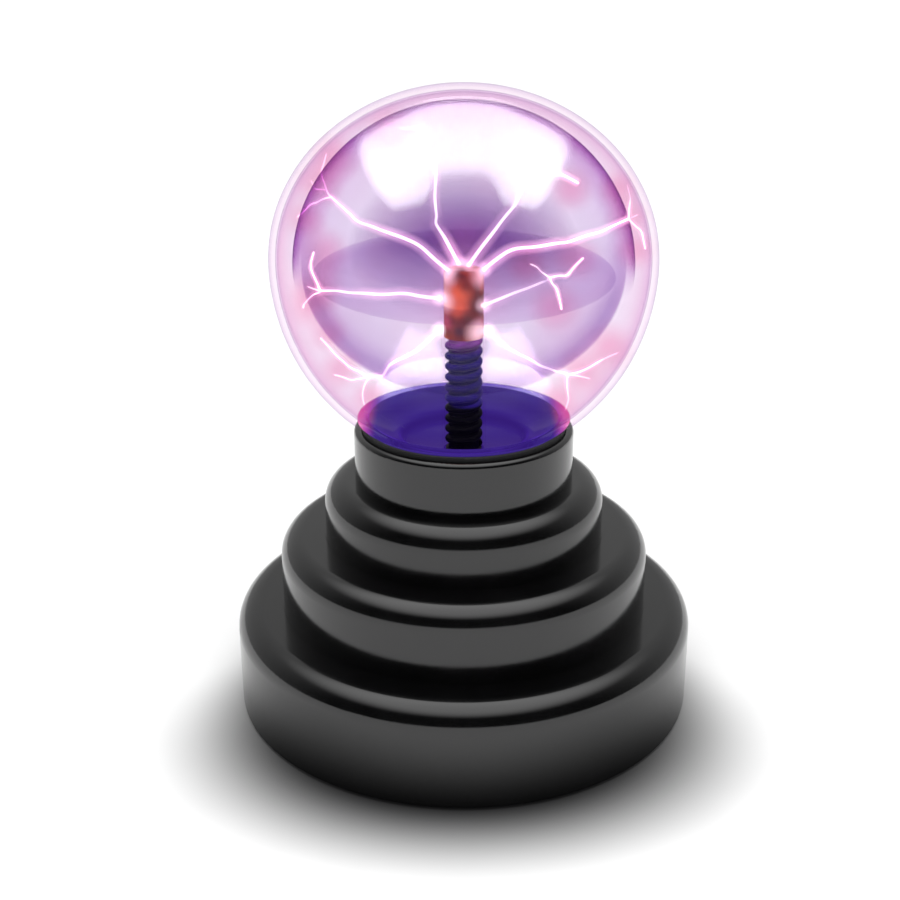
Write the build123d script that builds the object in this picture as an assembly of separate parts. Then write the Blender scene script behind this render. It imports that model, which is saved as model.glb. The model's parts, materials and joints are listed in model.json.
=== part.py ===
from build123d import *
from math import acos, cos, radians, sin, tan
import os

# Small desk-top plasma ball: a blown glass globe on a stepped, round, gloss black base.
# Millimetres. +Z is up, -Y is the front, and the origin is the middle of the footprint,
# on the table under the rubber feet.

# ---- Driving dimensions ----
WALL = 2.2                  # every black moulding
FIT = 0.1                   # radial running clearance
SNUG = 0.05                 # clearance between pieces that are pressed together
GAP = 0.3                   # loose clearance between pieces that never touch

# Stepped base: outer radius, lowest and highest Z, and shoulder radius of each tier
BOTTOM = dict(radius=50.7, low=0.7, high=22.5, shoulder=5.0)
MIDDLE = dict(radius=40.5, low=22.5, high=38.4, shoulder=4.7)
UPPER = dict(radius=30.5, low=38.4, high=50.9, shoulder=5.2)
FOOT_BEAD = 0.25            # fine bead round the foot of a tier, at the parting line
BOTTOM_OPENING = 30.0       # radius of the hole in each tier's top
MIDDLE_OPENING = 21.0
UPPER_OPENING = 17.2

# Collar and gasket
COLLAR_RADIUS = 23.74
COLLAR_TOP = 62.4
COLLAR_ROUND = 1.0
COLLAR_WALL = 2.0
SEAT_RADIUS = 22.2          # gasket seat in the collar's rim
SEAT_Z = 61.8
SEAT_LEDGE = 20.9
SEAT_LEDGE_DEPTH = 1.2
GASKET_BORE = 20.2
GASKET_TOP = 63.4
FLANGE = 1.5                # cradle flange that the collar clamps
CRADLE_WALL = 1.2
CRADLE_LOW = 46.4
CRADLE_FUNNEL = 19.9        # outer radius of the funnel under the bowl
CRADLE_OPENING = 12.6

# Glass
GLOBE_RADIUS = 40.0
CROWN_HEIGHT = 35.3         # half-ellipse above the widest ring
BOWL_DEPTH = 42.0           # half-ellipse below it
EQUATOR_Z = 98.8
GLASS_WALL = 1.4
NECK_RADIUS = 15.5
NECK_FILLET = 2.0
NECK_Z = 48.0
STEM_PLATE = 1.6
STEM_RADIUS = 4.75          # re-entrant tube that holds the electrode
STEM_WALL = 0.5
STEM_TOP = 98.2
STEM_ROUND = 2.0            # closed end of the tube
STEM_ROOT = 1.2             # fillet where the tube joins its end plate

# Electrode, inside the re-entrant tube
CORE_RADIUS = 3.25
SLEEVE_RADIUS = 3.9
CAP_RADIUS = 4.2
CAP_ROUND = 1.2
CAP_CROWN = 0.8             # thickness of the cap's closed top
ELECTRODE_LOW = 48.5
COIL_LOW = 57.4
CAP_LOW = 82.4
CAP_TOP = 97.0
WIRE_RADIUS = 0.75
COIL_RADIUS = 3.3           # to the middle of the wire, which lies in a groove in the core
COIL_PITCH = 2.33
GROOVE_PLAY = 0.04
TERMINAL_RADIUS = 1.6
TERMINAL_LENGTH = 2.4

# Base plate, battery bay and feet
PLATE_LOW = 1.0
PLATE_HIGH = 3.2
PLATE_RADIUS = 48.2
FOOT_RADIUS = 4.5
FOOT_CIRCLE = 41.0
FOOT_HEIGHT = 1.8
CELL_RADIUS = 5.25
CELL_BODY = 43.7
CELL_NUB = 0.8
CELL_NUB_RADIUS = 1.9
CELL_PITCH = 11.0
CELL_COUNT = 4
CELL_Z = 8.7
BAY_X = 24.8                # half length inside the bay
BAY_Y = 22.4                # half width inside the bay
BAY_WALL = 1.5
BAY_CEILING = 14.6
CONTACT_THICKNESS = 0.4
DOOR_GAP = 0.3
DOOR_HIGH = 3.0
DOOR_TABS = (-11.0, 11.0)   # Y of the two tabs on the door's -X edge
TAB_HALF = 2.5
TAB_TOP = 4.6
TAB_REACH = 1.4
CATCH_HALF = 6.0            # half width of the springy tongue that latches the door

# Fasteners
SCREW = dict(shank=1.3, length=8.5, head=2.5, head_height=1.7)
SMALL_SCREW = dict(shank=1.0, length=6.0, head=1.9, head_height=1.3)
COLLAR_SCREW = dict(shank=1.0, length=7.6, head=1.9, head_height=1.3)
HOLE_PLAY = 0.25            # clearance hole, on the radius
BORE_PLAY = 0.02            # pilot bore round a screw's thread
BASE_SCREW_CIRCLE = 43.3
BASE_SCREW_SEAT = 4.0
BASE_BOSS_Z = 5.6
BASE_BOSS_RADIUS = 4.0
MIDDLE_SCREW_CIRCLE = 34.0
UPPER_SCREW_CIRCLE = 24.5
COLLAR_SCREW_CIRCLE = 19.5
BOARD_SCREW_CIRCLE = 25.0
DIAGONALS = (45, 135, 225, 315)
TRIAD = (90, 210, 330)
TURNED_TRIAD = (30, 150, 270)

# Driver board, above the battery bay
BOARD_RADIUS = 28.0
BOARD_LOW = 23.0
BOARD = 24.6                # component side
TRANSFORMER_X = -3.0
PIN_BLOCK = 1.2             # block that stands the transformer on the board
CORE_LIMB = 3.0             # round middle limb of its ferrite core
BOBBIN_RADIUS = 3.7
CHIP_Y = -17.0
LEAD_X = 12.5               # where the high-voltage lead meets the board

# Control panel: a flat cut across the back of the bottom tier
PANEL_Y = 48.4
PANEL_HALF_WIDTH = 16.0
PANEL_HALF_HEIGHT = 4.8
PAD_Y = 45.6                # inner face of the thick wall behind the panel
PAD_HALF_WIDTH = 19.5
PAD_HALF_HEIGHT = 6.4
CONTROL_Z = 11.0
CONTROL_BACK = 39.9         # outward face of the control board
CONTROL_BOARD = 1.6
CONTROL_BOARD_HALF = 20.0
POST_X = 17.0               # posts that the control board is screwed to
POST_RADIUS = 2.4
SWITCH_X = -7.0
SWITCH_HALF_WIDTH = 6.5
SWITCH_HALF_HEIGHT = 3.5
KNOB_WIDTH = 4.4
KNOB_HEIGHT = 4.0
KNOB_TRAVEL = 4.0
KNOB_LOW_Y = 43.1
KNOB_HIGH_Y = 50.1
SOCKET_X = 7.0
SOCKET_HALF = 4.9
SOCKET_BORE = 3.15
SOCKET_FLOOR = 0.8
BUSHING_RADIUS = 4.2

BOTTOM_UP = (Align.CENTER, Align.CENTER, Align.MIN)


# ---- Helpers ----
def turned(points):
    """Solid of revolution about Z from (radius, z) corners."""
    outline = Polyline(*[(r, 0, z) for r, z in points], close=True)
    return revolve(make_face(outline), Axis.Z)


def post(x, y, low, high, radius):
    return Pos(x, y, low) * Cylinder(radius, high - low, align=BOTTOM_UP)


def block(x0, x1, y0, y1, z0, z1):
    centre = Pos((x0 + x1) / 2, (y0 + y1) / 2, (z0 + z1) / 2)
    return centre * Box(x1 - x0, y1 - y0, z1 - z0)


def peg_y(x, z, y0, y1, radius):
    """Round bar along Y."""
    return Pos(x, (y0 + y1) / 2, z) * Rot(90, 0, 0) * Cylinder(radius, y1 - y0)


def peg_x(y, z, x0, x1, radius):
    """Round bar along X."""
    return Pos((x0 + x1) / 2, y, z) * Rot(0, 90, 0) * Cylinder(radius, x1 - x0)


def ring_of(angles, circle):
    return [(circle * cos(radians(a)), circle * sin(radians(a))) for a in angles]


def edges_at(shape, radius, z):
    """Edges that run round the Z axis at this radius and height."""
    found = []
    for edge in shape.edges():
        box = edge.bounding_box()
        level = abs(box.min.Z - z) < 0.01 and abs(box.max.Z - z) < 0.01
        if level and abs(box.max.X - radius) < 0.02 and abs(box.min.X + radius) < 0.02:
            found.append(edge)
    return found


def screw(x, y, seat, size):
    """Screw driven upwards, with its head under the face at height seat."""
    head = post(x, y, seat - size["head_height"], seat, size["head"])
    under = head.edges().filter_by(GeomType.CIRCLE).sort_by(Axis.Z)[0]
    head = chamfer(under, 0.35)
    shank = post(x, y, seat, seat + size["length"], size["shank"])
    slot_low = seat - size["head_height"]
    across = block(x - 1.3, x + 1.3, y - 0.3, y + 0.3, slot_low, slot_low + 0.8)
    along = block(x - 0.3, x + 0.3, y - 1.3, y + 1.3, slot_low, slot_low + 0.8)
    return head + shank - across - along


def boss(x, y, low, high, size, radius, depth):
    """Screw boss with a blind pilot bore that opens downwards."""
    body = post(x, y, low, high, radius)
    return body, post(x, y, low - 1, low + depth, size["shank"] + BORE_PLAY)


def lead(points, radius):
    """Insulated wire along straight runs joined by tangent arcs."""
    runs = [Vector(*b) - Vector(*a) for a, b in zip(points, points[1:])]
    bends = []
    for first, second in zip(runs, runs[1:]):
        half_turn = radians(first.get_angle(second)) / 2
        bends.append(0.45 * min(first.length, second.length) / tan(half_turn))
    path = FilletPolyline(*points, radius=bends)
    start = Plane(origin=path @ 0, z_dir=path % 0)
    return sweep(start * Circle(radius), path=path)


def coil(radius, wire, pitch, height):
    """Round wire wound along +Z from the origin."""
    path = Helix(pitch=pitch, height=height, radius=radius)
    start = Plane(origin=path @ 0, z_dir=path % 0)
    return sweep(start * Circle(wire), path=path, is_frenet=True)


# ---- Glass ----
def globe_form(inset, low):
    """The globe and its neck, pulled in by inset, down to height low.

    Its outline is a half-ellipse crown over a deeper half-ellipse bowl, which ends on the neck.
    """
    radius, neck = GLOBE_RADIUS - inset, NECK_RADIUS - inset
    crown, bowl = CROWN_HEIGHT - inset, BOWL_DEPTH - inset
    steps = 8
    last = acos(neck / radius)
    above = [radians(90 - 90 * i / steps) for i in range(steps)]
    below = [last * i / steps for i in range(steps + 1)]
    points = [(radius * cos(a), EQUATOR_Z + crown * sin(a)) for a in above]
    points += [(radius * cos(a), EQUATOR_Z - bowl * sin(a)) for a in below]
    end = Vector(-radius * sin(last), -bowl * cos(last)).normalized()
    outline = Spline(*points, tangents=((1, 0), end))
    join = points[-1][1]
    corners = Polyline(points[-1], (neck, low), (0, low), points[0])
    form = revolve(make_face(Plane.XZ * (outline + corners)), Axis.Z)
    return fillet(edges_at(form, neck, join), NECK_FILLET + inset)


def glass_globe():
    return globe_form(0, NECK_Z) - globe_form(GLASS_WALL, NECK_Z - 1)


def glass_stem():
    plate = post(0, 0, NECK_Z, NECK_Z + STEM_PLATE, NECK_RADIUS - GLASS_WALL)
    tube = post(0, 0, NECK_Z, STEM_TOP, STEM_RADIUS)
    tube = fillet(edges_at(tube, STEM_RADIUS, STEM_TOP), STEM_ROUND)
    bore, bore_top = STEM_RADIUS - STEM_WALL, STEM_TOP - STEM_WALL
    inside = post(0, 0, NECK_Z - 1, bore_top, bore)
    inside = fillet(edges_at(inside, bore, bore_top), STEM_ROUND - STEM_WALL)
    form = plate + tube
    form = fillet(edges_at(form, STEM_RADIUS, NECK_Z + STEM_PLATE), STEM_ROOT)
    return form - inside


def exhaust_tip():
    """The drawn-off glass tube through which the globe was filled and sealed."""
    outline = [(0, NECK_Z), (1.8, NECK_Z), (1.8, NECK_Z - 2.2), (0.7, NECK_Z - 4.0), (0, NECK_Z - 4.4)]
    return Pos(9.3, 0, 0) * turned(outline)


# ---- Electrode ----
def winding(wire):
    """The coil's path swept with wire of this radius."""
    height = CAP_LOW - COIL_LOW - 2 * (WIRE_RADIUS + SNUG)
    return Pos(0, 0, COIL_LOW + WIRE_RADIUS + SNUG) * coil(COIL_RADIUS, wire, COIL_PITCH, height)


def electrode_core():
    rod = post(0, 0, ELECTRODE_LOW, CAP_TOP - CAP_CROWN - SNUG, CORE_RADIUS)
    return rod - winding(WIRE_RADIUS + GROOVE_PLAY)


def electrode_sleeve():
    hole = post(0, 0, ELECTRODE_LOW - 1, COIL_LOW, CORE_RADIUS + SNUG)
    return post(0, 0, ELECTRODE_LOW, COIL_LOW - SNUG, SLEEVE_RADIUS) - hole


def electrode_coil():
    return winding(WIRE_RADIUS)


def electrode_cap():
    cup = post(0, 0, CAP_LOW, CAP_TOP, CAP_RADIUS)
    cup = fillet(edges_at(cup, CAP_RADIUS, CAP_TOP), CAP_ROUND)
    return cup - post(0, 0, CAP_LOW - 1, CAP_TOP - CAP_CROWN, CORE_RADIUS + SNUG)


def electrode_terminal():
    low = ELECTRODE_LOW - TERMINAL_LENGTH
    pin = post(0, 0, low, ELECTRODE_LOW, TERMINAL_RADIUS)
    return chamfer(edges_at(pin, TERMINAL_RADIUS, low), 0.3)


# ---- Collar, gasket and cradle ----
def collar():
    inner = COLLAR_RADIUS - COLLAR_WALL
    low = UPPER["high"]
    ledge_low = SEAT_Z - SEAT_LEDGE_DEPTH
    form = turned([
        (inner, low), (COLLAR_RADIUS, low), (COLLAR_RADIUS, COLLAR_TOP), (SEAT_RADIUS, COLLAR_TOP),
        (SEAT_RADIUS, SEAT_Z), (SEAT_LEDGE, SEAT_Z), (SEAT_LEDGE, ledge_low), (inner, ledge_low - 0.8),
    ])
    form = fillet(edges_at(form, COLLAR_RADIUS, COLLAR_TOP), COLLAR_ROUND)
    boss_low, boss_high = low + FLANGE, low + 6.3
    for angle in TURNED_TRIAD:
        x, y = ring_of([angle], COLLAR_SCREW_CIRCLE)[0]
        body, bore = boss(x, y, boss_low, boss_high, COLLAR_SCREW, 2.2, 4.6)
        rib = block(COLLAR_SCREW_CIRCLE, COLLAR_RADIUS - 1, -0.9, 0.9, boss_low, boss_high)
        form = form + body + Rot(0, 0, angle) * rib - bore
    return form


def globe_gasket():
    low, outer = SEAT_Z + SNUG, SEAT_RADIUS - SNUG
    ring = turned([(GASKET_BORE, low), (outer, low), (outer, GASKET_TOP), (GASKET_BORE, GASKET_TOP)])
    ring = fillet(edges_at(ring, outer, GASKET_TOP), 0.3)
    return ring - globe_form(-0.04, NECK_Z)


def globe_cradle():
    """Cup that grips the neck, with a funnel under the bowl and a flange under the collar."""
    bore = NECK_RADIUS + 0.2
    tube = bore + CRADLE_WALL
    floor = CRADLE_LOW + 1.4
    low = UPPER["high"]
    edge = COLLAR_RADIUS - COLLAR_WALL - 0.34
    form = turned([
        (CRADLE_OPENING, CRADLE_LOW), (tube, CRADLE_LOW), (tube, low), (edge, low),
        (edge, low + FLANGE), (tube, low + FLANGE), (tube, 58.6), (CRADLE_FUNNEL, 60.4),
        (CRADLE_FUNNEL, 61.7), (bore, 59.2), (bore, floor), (CRADLE_OPENING, floor),
    ])
    for x, y in ring_of(TURNED_TRIAD, COLLAR_SCREW_CIRCLE):
        form -= post(x, y, low - 1, low + 2, COLLAR_SCREW["shank"] + HOLE_PLAY)
    return form


# ---- Tiers of the base ----
def tier_shell(size, opening, bead):
    """Round cup, open below, with a rounded shoulder and a hole in its top."""
    radius, low, high = size["radius"], size["low"], size["high"]
    outer = post(0, 0, low, high, radius)
    outer = fillet(edges_at(outer, radius, high), size["shoulder"])
    inner = post(0, 0, low - 1, high - WALL, radius - WALL)
    inner = fillet(edges_at(inner, radius - WALL, high - WALL), size["shoulder"] - WALL)
    shell = outer - inner - post(0, 0, low, high + 1, opening)
    if bead:
        rim = post(0, 0, low, low + 0.4, radius + bead) - post(0, 0, low - 1, low + 1, radius - 1)
        shell += rim
    return shell


def upper_tier():
    form = tier_shell(UPPER, UPPER_OPENING, FOOT_BEAD)
    for x, y in ring_of(TURNED_TRIAD, UPPER_SCREW_CIRCLE):
        body, bore = boss(x, y, UPPER["low"], UPPER["high"] - 1, SCREW, 3.0, 7.4)
        form = form + body - bore
    for x, y in ring_of(TURNED_TRIAD, COLLAR_SCREW_CIRCLE):
        form -= post(x, y, UPPER["high"] - 4, UPPER["high"] + 1, COLLAR_SCREW["shank"] + HOLE_PLAY)
    return form


def middle_tier():
    form = tier_shell(MIDDLE, MIDDLE_OPENING, FOOT_BEAD)
    ceiling = MIDDLE["high"] - WALL
    for x, y in ring_of(TRIAD, MIDDLE_SCREW_CIRCLE):
        body, bore = boss(x, y, MIDDLE["low"], ceiling + 0.5, SCREW, 3.2, 7.4)
        form = form + body - bore
    for x, y in ring_of(TRIAD, BOARD_SCREW_CIRCLE):
        body, bore = boss(x, y, BOARD, ceiling + 0.5, SMALL_SCREW, 2.8, 5.0)
        form = form + body - bore
    for x, y in ring_of(TURNED_TRIAD, UPPER_SCREW_CIRCLE):
        form -= post(x, y, ceiling - 1, MIDDLE["high"] + 1, SCREW["shank"] + HOLE_PLAY)
    return form


def switch_slot(y0, y1, play):
    """Space that the switch knob sweeps, with play all round."""
    half_x = (KNOB_WIDTH + KNOB_TRAVEL) / 2 + play
    half_z = KNOB_HEIGHT / 2 + play
    return block(SWITCH_X - half_x, SWITCH_X + half_x, y0, y1, CONTROL_Z - half_z, CONTROL_Z + half_z)


def bottom_tier():
    form = tier_shell(BOTTOM, BOTTOM_OPENING, 0)
    ceiling = BOTTOM["high"] - WALL
    pad_low, pad_high = CONTROL_Z - PAD_HALF_HEIGHT, CONTROL_Z + PAD_HALF_HEIGHT
    pad = block(-PAD_HALF_WIDTH, PAD_HALF_WIDTH, PAD_Y, BOTTOM["radius"], pad_low, pad_high)
    form += pad & post(0, 0, pad_low - 1, pad_high + 1, BOTTOM["radius"] - 0.5)
    for x in (-POST_X, POST_X):
        form += peg_y(x, CONTROL_Z, CONTROL_BACK, PAD_Y + 0.6, POST_RADIUS)
    for x, y in ring_of(DIAGONALS, BASE_SCREW_CIRCLE):
        body, bore = boss(x, y, BASE_BOSS_Z, ceiling + 0.5, SCREW, 3.6, 8.0)
        form = form + body - bore
    for x, y in ring_of(TRIAD, MIDDLE_SCREW_CIRCLE):
        form -= post(x, y, ceiling - 1, BOTTOM["high"] + 1, SCREW["shank"] + HOLE_PLAY)
    for x in (-POST_X, POST_X):
        form -= peg_y(x, CONTROL_Z, CONTROL_BACK - 1, 45.0, SMALL_SCREW["shank"] + BORE_PLAY)
    inside, outside = PAD_Y - 1, BOTTOM["radius"] + 1
    low, high = CONTROL_Z - PANEL_HALF_HEIGHT, CONTROL_Z + PANEL_HALF_HEIGHT
    panel = block(-PANEL_HALF_WIDTH, PANEL_HALF_WIDTH, PANEL_Y, outside, low, high)
    slot = switch_slot(inside, outside, GAP)
    return form - panel - slot - peg_y(SOCKET_X, CONTROL_Z, inside, outside, BUSHING_RADIUS + FIT)


# ---- Underside ----
def base_plate():
    plate = post(0, 0, PLATE_LOW, PLATE_HIGH, PLATE_RADIUS)
    outer_x, outer_y = BAY_X + BAY_WALL, BAY_Y + BAY_WALL
    plate += block(-outer_x, outer_x, -outer_y, outer_y, PLATE_HIGH, BAY_CEILING + BAY_WALL)
    for x, y in ring_of(DIAGONALS, BASE_SCREW_CIRCLE):
        plate += post(x, y, PLATE_LOW, BASE_BOSS_Z, BASE_BOSS_RADIUS)
        plate -= post(x, y, 0, BASE_SCREW_SEAT, SCREW["head"] + 0.4)
        plate -= post(x, y, 0, BASE_BOSS_Z + 1, SCREW["shank"] + HOLE_PLAY)
    plate -= block(-BAY_X, BAY_X, -BAY_Y, BAY_Y, 0, BAY_CEILING)
    for y in DOOR_TABS:
        half = TAB_HALF + GAP
        plate -= block(-BAY_X - TAB_REACH, -BAY_X, y - half, y + half, PLATE_HIGH, TAB_TOP + 0.8)
    for x, y in ring_of((0, 90, 180, 270), FOOT_CIRCLE):
        plate -= post(x, y, 0, FOOT_HEIGHT, FOOT_RADIUS + FIT)
    for x, y in contact_tabs():
        plate -= block(x - 0.5, x + 0.5, y - 1.8, y + 1.8, BAY_CEILING - 1, BAY_CEILING + 3)
    return plate


def battery_door():
    x, y = BAY_X - DOOR_GAP, BAY_Y - DOOR_GAP
    door = block(-x, x, -y, y, PLATE_LOW, DOOR_HIGH)
    door = fillet(door.edges().filter_by(Axis.Z), 1.2)
    for tab in DOOR_TABS:
        left, right = tab - TAB_HALF, tab + TAB_HALF
        door += block(-x, -x + 0.8, left, right, DOOR_HIGH - 1, TAB_TOP)
        door += block(-x - TAB_REACH, -x, left, right, PLATE_HIGH + GAP, TAB_TOP)
    for y in (-CATCH_HALF, CATCH_HALF):
        door -= block(x - 9, x + 1, y - 0.4, y + 0.4, 0, DOOR_HIGH + 1)
    for row in range(4):
        groove = x - 2.2 - 1.5 * row
        door -= block(groove - 0.35, groove + 0.35, -4, 4, 0, PLATE_LOW + 0.5)
    return door


def cell_rows():
    """Y of each cell, with +1 where its nub faces +X and -1 where it faces -X."""
    middle = (CELL_COUNT - 1) / 2
    return [((row - middle) * CELL_PITCH, 1 if row % 2 == 0 else -1) for row in range(CELL_COUNT)]


def contact_face():
    return BAY_X - CONTACT_THICKNESS


def battery_cells():
    nub_end = contact_face() - SNUG
    cells = []
    for y, way in cell_rows():
        shoulder = nub_end - CELL_NUB
        body = peg_x(y, CELL_Z, shoulder - CELL_BODY, shoulder, CELL_RADIUS)
        rims = body.edges().filter_by(GeomType.CIRCLE)
        body = fillet(rims, 0.5)
        cell = body + peg_x(y, CELL_Z, shoulder - 0.5, nub_end, CELL_NUB_RADIUS)
        cells.append(cell if way > 0 else Pos(0, 2 * y, 0) * Rot(0, 0, 180) * cell)
    return Compound(cells)


def battery_springs():
    negative_end = contact_face() - SNUG - CELL_NUB - CELL_BODY
    room = contact_face() + negative_end - 2 * SNUG
    wire = 0.3
    springs = []
    for y, way in cell_rows():
        winding = coil(2.6, wire, (room - 2 * wire) / 3, room - 2 * wire)
        start = -contact_face() + SNUG + wire
        placed = Pos(start, y, CELL_Z) * Rot(0, 90, 0) * winding
        springs.append(placed if way > 0 else Pos(0, 2 * y, 0) * Rot(0, 0, 180) * placed)
    return Compound(springs)


def contact_tabs():
    """Where the two end contacts' solder tabs come up through the bay's ceiling."""
    y = 1.5 * CELL_PITCH
    return [(BAY_X - CONTACT_THICKNESS / 2, -y), (BAY_X - CONTACT_THICKNESS / 2, y)]


def battery_contacts():
    """End plates of the bay, joined in pairs so that the cells run in series."""
    thin = CONTACT_THICKNESS
    half = 4.6
    outer = CELL_PITCH * 1.5
    inner = CELL_PITCH * 0.5
    low, high = CELL_Z - 3.6, CELL_Z + half
    plates = []
    for low_y, high_y in ((-outer, -inner), (inner, outer)):
        plates.append(block(-BAY_X, -BAY_X + thin, low_y - half, high_y + half, low, high))
    plates.append(block(BAY_X - thin, BAY_X, -inner - half, inner + half, low, high))
    for x, y in contact_tabs():
        plate = block(BAY_X - thin, BAY_X, y - half, y + half, low, high)
        plates.append(plate + block(BAY_X - thin, BAY_X, y - 1.5, y + 1.5, high - 1, 17.3))
    return Compound(plates)


def rubber_feet():
    feet = []
    for x, y in ring_of((0, 90, 180, 270), FOOT_CIRCLE):
        pad = post(x, y, 0, FOOT_HEIGHT - 0.02, FOOT_RADIUS)
        rim = pad.edges().filter_by(GeomType.CIRCLE).sort_by(Axis.Z)[0]
        feet.append(fillet(rim, 0.4))
    return Compound(feet)


# ---- Fasteners ----
def case_screws():
    made = [screw(x, y, BASE_SCREW_SEAT, SCREW) for x, y in ring_of(DIAGONALS, BASE_SCREW_CIRCLE)]
    seat = BOTTOM["high"] - WALL
    made += [screw(x, y, seat, SCREW) for x, y in ring_of(TRIAD, MIDDLE_SCREW_CIRCLE)]
    seat = MIDDLE["high"] - WALL
    made += [screw(x, y, seat, SCREW) for x, y in ring_of(TURNED_TRIAD, UPPER_SCREW_CIRCLE)]
    return Compound(made)


def collar_screws():
    seat = UPPER["high"] - WALL
    places = ring_of(TURNED_TRIAD, COLLAR_SCREW_CIRCLE)
    return Compound([screw(x, y, seat, COLLAR_SCREW) for x, y in places])


def board_screws():
    made = [screw(x, y, BOARD_LOW, SMALL_SCREW) for x, y in ring_of(TRIAD, BOARD_SCREW_CIRCLE)]
    seat = CONTROL_BACK - CONTROL_BOARD
    for x in (-POST_X, POST_X):
        upright = screw(0, 0, 0, SMALL_SCREW)
        made.append(Pos(x, seat, CONTROL_Z) * Rot(-90, 0, 0) * upright)
    return Compound(made)


# ---- Electronics ----
def driver_board():
    board = post(0, 0, BOARD_LOW, BOARD, BOARD_RADIUS)
    for x, y in ring_of(TRIAD, BOARD_SCREW_CIRCLE):
        board -= post(x, y, BOARD_LOW - 1, BOARD + 1, SMALL_SCREW["shank"] + HOLE_PLAY)
    return board


def transformer_core():
    core = Pos(TRANSFORMER_X, 0, BOARD + PIN_BLOCK) * Box(18, 12, 14, align=BOTTOM_UP)
    window = Pos(TRANSFORMER_X, 0, BOARD + 3.4) * Box(13.6, 14, 9.6, align=BOTTOM_UP)
    return core - (window - post(TRANSFORMER_X, 0, BOARD + 3, BOARD + 13.5, CORE_LIMB))


def transformer_bobbin():
    low = BOARD + 3.6
    body = post(TRANSFORMER_X, 0, low, low + 9.2, BOBBIN_RADIUS)
    for z in (low, low + 8.6):
        body += post(TRANSFORMER_X, 0, z, z + 0.6, 6.5)
    body -= post(TRANSFORMER_X, 0, low - 1, low + 10, CORE_LIMB + SNUG)
    return body


def transformer_winding():
    low = BOARD + 4.25
    body = post(TRANSFORMER_X, 0, low, low + 7.9, 6.1)
    return body - post(TRANSFORMER_X, 0, low - 1, low + 9, BOBBIN_RADIUS + SNUG)


def transformer_base():
    """Pin block that stands the transformer on the board."""
    return Pos(TRANSFORMER_X, 0, BOARD) * Box(19, 15, PIN_BLOCK, align=BOTTOM_UP)


def heat_sink():
    sink = block(-20.5, -19.0, -7, 7, BOARD, BOARD + 11)
    for y in (-6.3, -2.1, 2.1, 6.3):
        sink += block(-24.5, -20.5, y - 0.5, y + 0.5, BOARD, BOARD + 11)
    return sink


def power_transistor():
    body = block(-18.3, -14.4, -5, 5, BOARD + 3, BOARD + 10)
    tab = block(-18.95, -17.7, -5, 5, BOARD + 3, BOARD + 10.8)
    legs = [block(-16.6, -16.0, y - 0.4, y + 0.4, BOARD, BOARD + 3) for y in (-2.54, 0, 2.54)]
    form = body + tab
    for leg in legs:
        form += leg
    return form


def reservoir_capacitor():
    can = post(5, 17, BOARD + 0.3, BOARD + 10.5, 4.0)
    can = fillet(can.edges().filter_by(GeomType.CIRCLE), 0.4)
    return can + post(4, 17, BOARD, BOARD + 1, 0.4) + post(6, 17, BOARD, BOARD + 1, 0.4)


def film_capacitor():
    form = block(7.5, 17.5, -15.5, -10.5, BOARD + 0.6, BOARD + 8.6)
    form = fillet(form.edges(), 0.6)
    return form + post(9.5, -13, BOARD, BOARD + 1, 0.4) + post(15.5, -13, BOARD, BOARD + 1, 0.4)


def timer_chip():
    form = block(-4.8, 4.8, CHIP_Y - 3.2, CHIP_Y + 3.2, BOARD + 0.6, BOARD + 3.9)
    form -= Pos(-4.8, CHIP_Y, BOARD + 3.9) * Sphere(0.9)
    for i in range(4):
        x = -3.81 + 2.54 * i
        for side in (-1, 1):
            y = CHIP_Y + side * 3.5
            form += block(x - 0.3, x + 0.3, y - 0.3, y + 0.3, BOARD, BOARD + 2)
    return form


def resistors():
    made = []
    for i in range(4):
        y = 10.5 + 3.2 * i
        body = peg_x(y, BOARD + 1.4, -13, -7, 1.1)
        wire = peg_x(y, BOARD + 1.4, -14.6, -5.4, 0.3)
        ends = [post(x, y, BOARD, BOARD + 1.7, 0.3) for x in (-14.3, -5.7)]
        made.append(body + wire + ends[0] + ends[1])
    return Compound(made)


def high_voltage_lead():
    top = ELECTRODE_LOW - TERMINAL_LENGTH
    return lead([(0, 0, top), (0, 0, top - 4), (LEAD_X, 0, top - 6), (LEAD_X, 0, BOARD)], 1.2)


def battery_leads():
    made = []
    level = BAY_CEILING + BAY_WALL + 0.8
    for _, y in contact_tabs():
        end_y = y * 0.8
        run = [(BAY_X - 2.0, y, level), (BAY_X - 5.5, y, level)]
        run += [(18.0, end_y, 19.5), (18.0, end_y, BOARD_LOW)]
        made.append(lead(run, 0.6))
    return Compound(made)


def control_leads():
    made = []
    for x in (SWITCH_X, SOCKET_X):
        start = (x, CONTROL_BACK - CONTROL_BOARD, CONTROL_Z)
        run = [start, (x, 33, CONTROL_Z), (x, 25, 18.5), (x, 25, BOARD_LOW)]
        made.append(lead(run, 0.7))
    return Compound(made)


# ---- Controls ----
def control_board():
    low, high = CONTROL_BACK - CONTROL_BOARD, CONTROL_BACK
    half = CONTROL_BOARD_HALF
    board = block(-half, half, low, high, CONTROL_Z - 5, CONTROL_Z + 5)
    for x in (-POST_X, POST_X):
        board -= peg_y(x, CONTROL_Z, low - 1, high + 1, SMALL_SCREW["shank"] + HOLE_PLAY)
    return board


def switch_body():
    left, right = SWITCH_X - SWITCH_HALF_WIDTH, SWITCH_X + SWITCH_HALF_WIDTH
    low, high = CONTROL_Z - SWITCH_HALF_HEIGHT, CONTROL_Z + SWITCH_HALF_HEIGHT
    body = block(left, right, CONTROL_BACK, PAD_Y - FIT, low, high)
    return body - switch_slot(KNOB_LOW_Y - FIT, PAD_Y + 1, FIT)


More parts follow.
